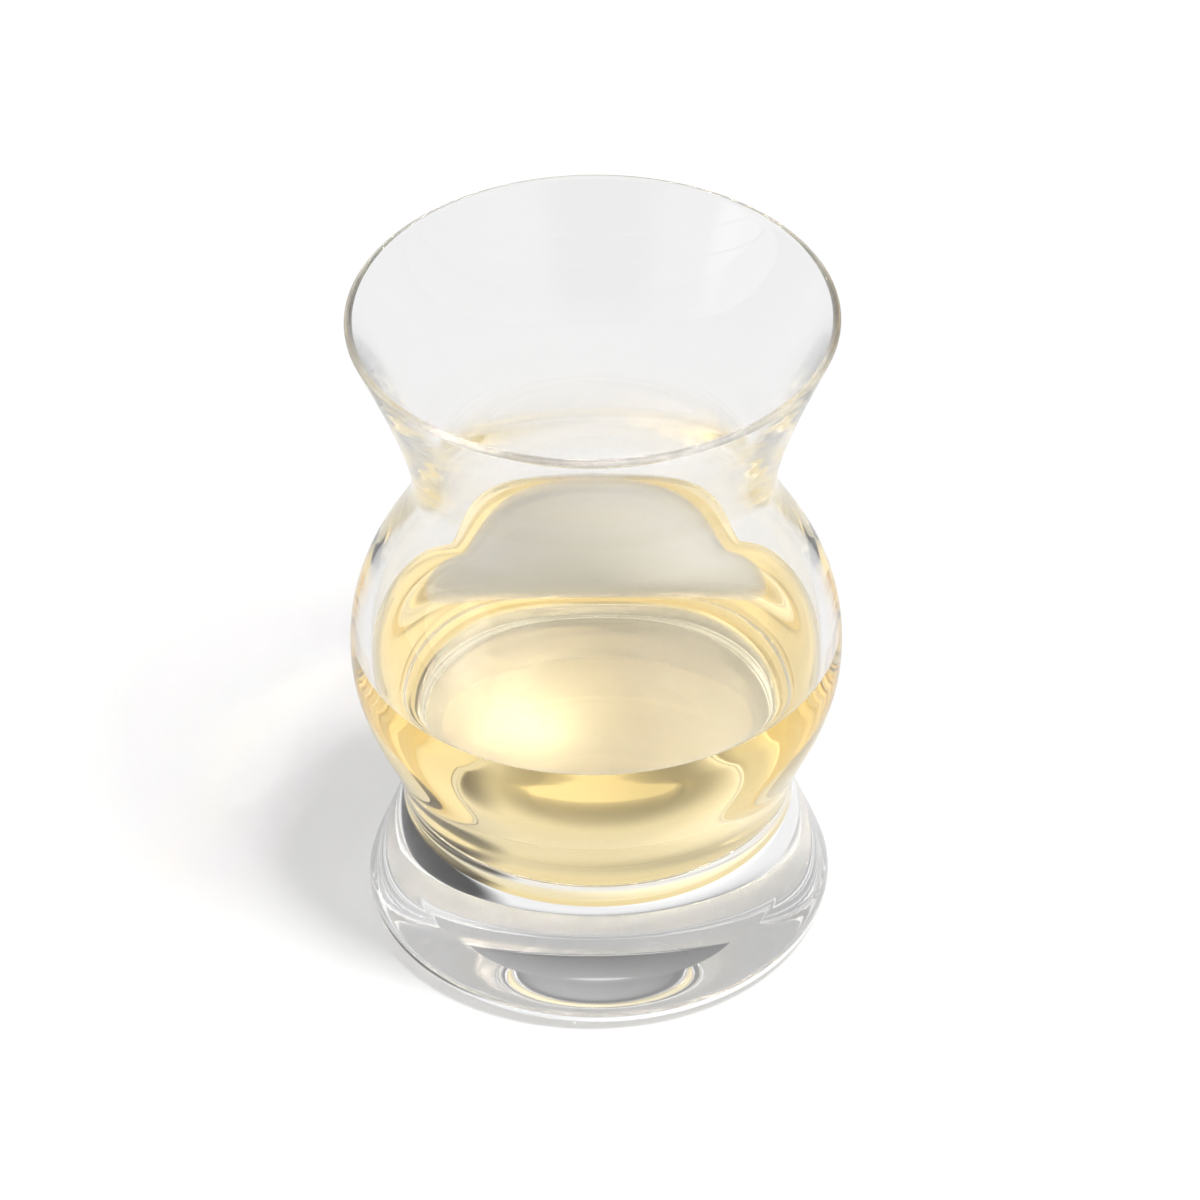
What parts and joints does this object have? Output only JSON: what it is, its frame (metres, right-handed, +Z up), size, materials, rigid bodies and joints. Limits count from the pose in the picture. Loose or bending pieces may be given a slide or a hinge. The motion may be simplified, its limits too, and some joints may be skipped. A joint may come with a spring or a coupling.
{
  "type": "tequila glass",
  "caption": "Footed tasting glass with a flared lip, narrow neck and round belly on a heavy solid foot, holding a pour of pale gold tequila.",
  "frame": {"origin": "centre of the foot's underside, on the table", "axes": "+Z up along the glass's axis, from the foot to the rim; the glass is round, so +X and +Y are alike"},
  "size_m": [0.0714, 0.0714, 0.104],
  "materials": {
    "blown_glass": "clear fire-polished blown glass",
    "solid_glass": "clear fire-polished solid glass",
    "tequila": "clear pale gold liquid"
  },
  "bodies": {
    "root": {"bowl": "blown_glass", "foot": "solid_glass", "tequila": "tequila"}
  },
  "joints": []
}
